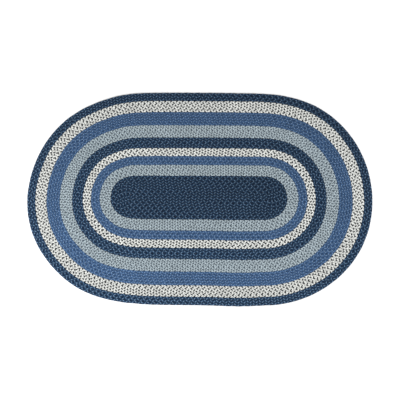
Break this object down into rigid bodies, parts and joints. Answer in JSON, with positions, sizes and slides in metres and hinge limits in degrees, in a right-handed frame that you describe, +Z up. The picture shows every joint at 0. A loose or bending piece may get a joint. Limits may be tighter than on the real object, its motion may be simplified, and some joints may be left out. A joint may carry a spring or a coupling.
{
  "type": "braided rug",
  "caption": "Flat oval rug of three-strand braid in closed rounds laced edge to edge, in rings of navy, grey, blue and cream, lying on a floor.",
  "frame": {"origin": "on the floor, under the middle of the rug", "axes": "+X along the length of the rug, +Y across it towards its far long side, +Z up from the floor"},
  "size_m": [2.4346, 1.5064, 0.01],
  "materials": {
    "navy_braid": "matt braided yarn, two navy strands and one steel blue",
    "grey_braid": "matt braided yarn, two pale grey strands and one slate",
    "blue_braid": "matt braided yarn, three close mid blues",
    "cream_braid": "matt braided yarn, two cream strands and one charcoal"
  },
  "bodies": {
    "root": {"centre_navy": "navy_braid", "inner_grey": "grey_braid", "inner_blue": "blue_braid", "inner_cream": "cream_braid", "middle_navy": "navy_braid", "outer_grey": "grey_braid", "outer_blue": "blue_braid", "outer_cream": "cream_braid", "edge_navy": "navy_braid"}
  },
  "joints": []
}
